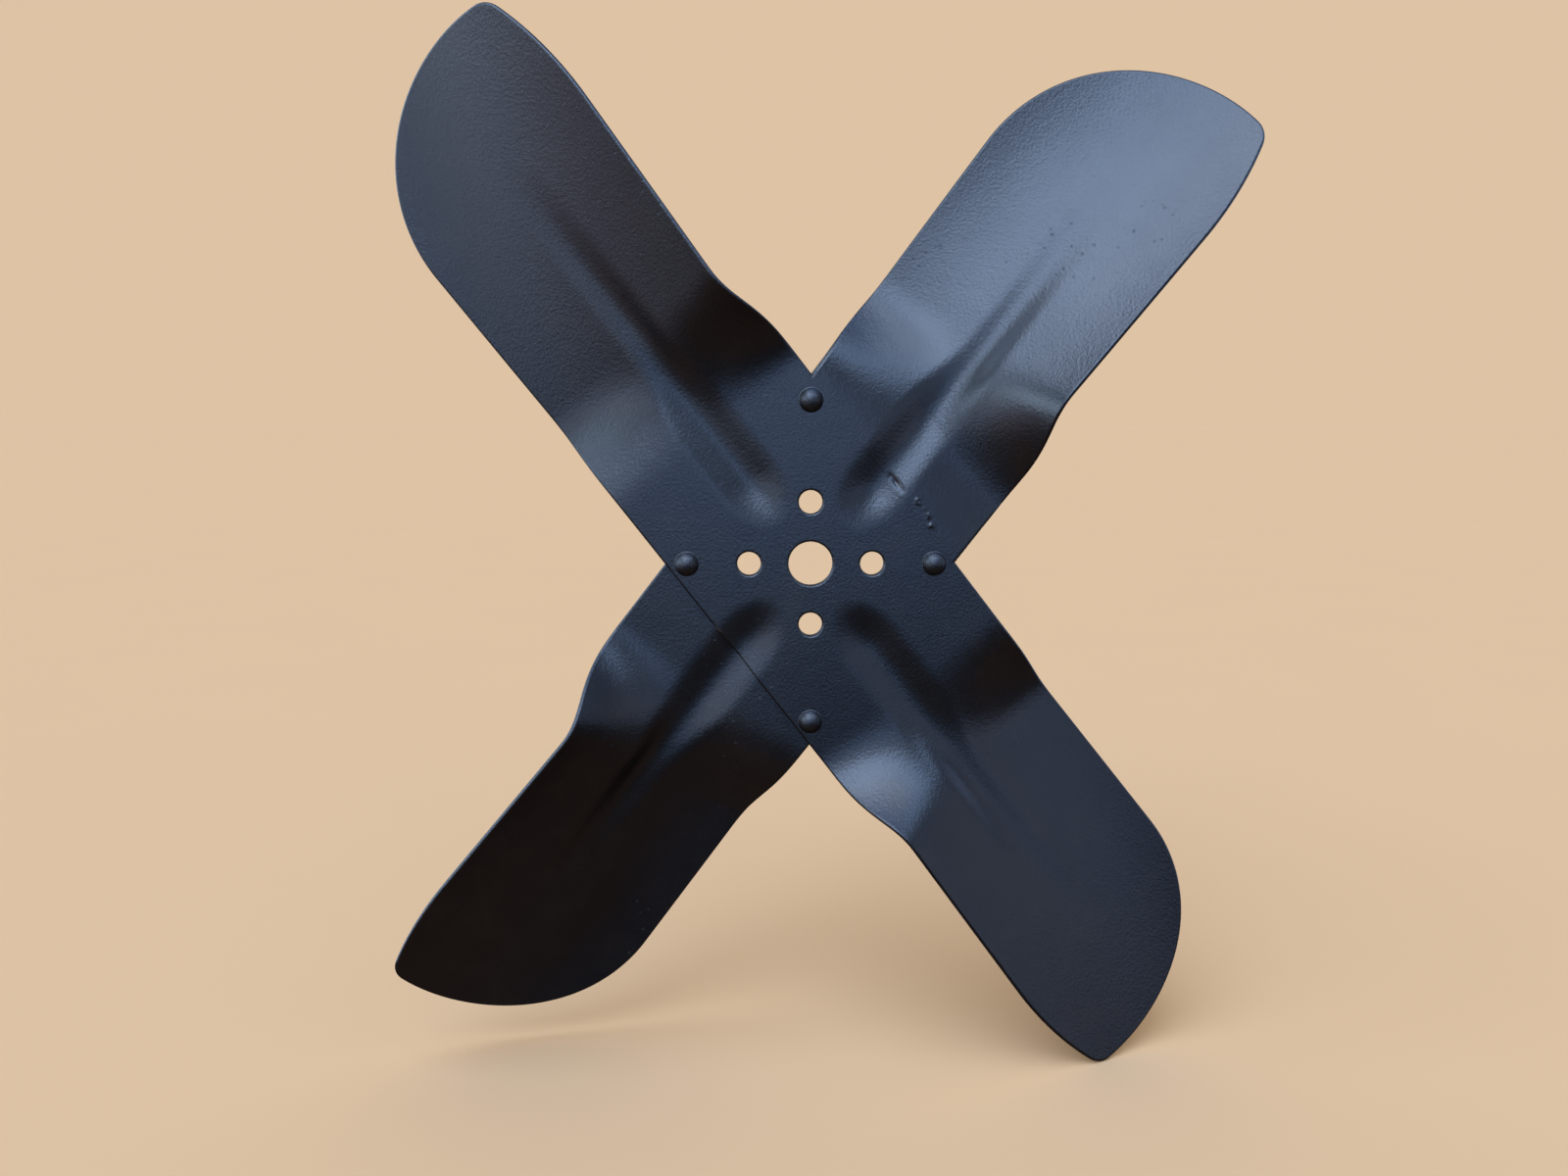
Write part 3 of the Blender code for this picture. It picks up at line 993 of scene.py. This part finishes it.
# %% Floor and world
FLOOR_COLOUR = (0.60, 0.528, 0.434, 1.0)
FLOOR_DARKER = (0.586, 0.516, 0.424, 1.0)
FLOOR_CLOUD_SCALE = 6.0
FLOOR_ROUGHNESS = 0.9
FLOOR_SIZE = 80.0
BACKDROP = (0.730, 0.546, 0.376, 1.0)


def add_floor():
    """A plain pale floor under the lowest point of the fan."""
    floor = bmesh.new()
    bmesh.ops.create_grid(floor, x_segments=2, y_segments=2, size=FLOOR_SIZE)
    bmesh.ops.translate(floor, verts=floor.verts[:], vec=(0.0, 0.0, cad_box[0][2]))
    plain = bpy.data.materials.new("plain_floor")
    plain.use_nodes = True
    tree = plain.node_tree
    shader = tree.nodes["Principled BSDF"]
    shader.inputs["Roughness"].default_value = FLOOR_ROUGHNESS
    shader.inputs["Specular IOR Level"].default_value = 0.0
    clouds = add_noise(tree, FLOOR_CLOUD_SCALE, detail=3.0)
    tree.links.new(add_mix(tree, clouds, FLOOR_COLOUR, FLOOR_DARKER), shader.inputs["Base Color"])
    piece = add_piece("floor", floor, plain)
    piece.visible_glossy = False
    piece.visible_shadow = False
    return piece


def set_world():
    """The backdrop's colour, and the fill that softens the shadows on the floor."""
    world = bpy.data.worlds.new("backdrop")
    world.use_nodes = True
    world.node_tree.nodes["Background"].inputs["Color"].default_value = BACKDROP
    world.cycles_visibility.glossy = False
    bpy.context.scene.world = world


floor = add_floor()
set_world()
print("floor at z in mm:", round(floor.data.vertices[0].co.z / MM, 1))

# %% [markdown]
# ## Light
#
# The blades work as curved mirrors, and the photograph shows in them where the light came from:
# a wide, high window left of the camera, reaching over to the right, a brighter wall at the
# left, a dimmer one at the right, a ceiling, and shade below. Each becomes a softbox of the
# same size and direction as seen from the hub. These softboxes are only mirrored in the paint,
# and one broad lamp lights the floor, so each can be set without the other.

# %% Softboxes
BOX_DISTANCE = 8.0


def softbox(name, azimuth, elevation, width, height, glow, roll=0.0):
    """A soft lamp at a direction from the hub. Angles in degrees. Glow is its (r, g, b) radiance."""
    wide = 2 * BOX_DISTANCE * tan(radians(width / 2))
    high = 2 * BOX_DISTANCE * tan(radians(height / 2))
    light = bpy.data.lights.new(name, "AREA")
    light.shape = "RECTANGLE"
    light.size = wide
    light.size_y = high
    brightest = max(glow)
    light.color = [part / brightest for part in glow]
    # An area lamp's power is pi times its area times its radiance
    light.energy = pi * wide * high * brightest
    turn, rise = radians(azimuth), radians(elevation)
    toward = Vector((sin(turn) * cos(rise), -cos(turn) * cos(rise), sin(rise)))
    facing = toward.to_track_quat("Z", "Y").to_matrix().to_4x4()
    box = bpy.data.objects.new(name, light)
    box.matrix_world = (
        Matrix.Translation(toward * BOX_DISTANCE) @ facing
        @ Matrix.Rotation(radians(roll), 4, "Z"))
    box.visible_camera = False
    box.visible_diffuse = False
    bpy.context.scene.collection.objects.link(box)
    return box


softboxes = [
    softbox("window_low", -14, 29, 24, 26, (5.5, 7.4, 11.0), roll=-40),
    softbox("window_middle", -34, 44, 24, 26, (4.7, 6.4, 9.6), roll=-32),
    softbox("window_top", -15, 60, 50, 16, (4.6, 5.3, 6.4)),
    softbox("window_right", 28, 42, 50, 22, (2.8, 4.2, 7.0)),
    softbox("left_wall", -34, -3, 34, 16, (2.1, 2.5, 3.6), roll=-10),
    softbox("left_wall_far", -60, -12, 30, 26, (0.75, 0.6, 0.75), roll=-10),
    softbox("left_wall_high", -62, 14, 30, 20, (4.8, 6.5, 8.7)),
    softbox("front", 2, 2, 26, 14, (1.4, 2.3, 4.3)),
    softbox("right_wall", 36, 0, 26, 18, (1.0, 1.25, 2.0)),
    softbox("right_wall_far", 62, 6, 28, 24, (0.8, 0.9, 1.25)),
    softbox("left_side", -105, 20, 40, 70, (2.4, 3.2, 4.6)),
    softbox("right_side", 105, 20, 40, 70, (0.9, 1.2, 2.0)),
    softbox("ceiling", 0, 85, 60, 30, (0.9, 1.6, 3.6)),
    softbox("ground", 0, -65, 120, 50, (0.17, 0.10, 0.07)),
    softbox("behind", 180, 5, 80, 60, (0.8, 0.75, 0.7)),
]
print("softboxes:", len(softboxes))

# %% Lamp for the floor
LAMP_FROM = Vector((-0.35, -0.45, 1.0))
LAMP_STRENGTH = 1.81
LAMP_WIDTH = radians(50)


def floor_lamp():
    """A broad lamp from above and in front that isn't mirrored in the paint."""
    lamp = bpy.data.lights.new("floor_lamp", "SUN")
    lamp.energy = LAMP_STRENGTH
    lamp.angle = LAMP_WIDTH
    holder = bpy.data.objects.new("floor_lamp", lamp)
    holder.matrix_world = LAMP_FROM.to_track_quat("Z", "Y").to_matrix().to_4x4()
    holder.visible_glossy = False
    bpy.context.scene.collection.objects.link(holder)
    return holder


lamp = floor_lamp()
print("lamp strength:", round(lamp.data.energy, 2))

# %% Colours as they were set, with no film curve over them
bpy.context.scene.view_settings.view_transform = "Standard"
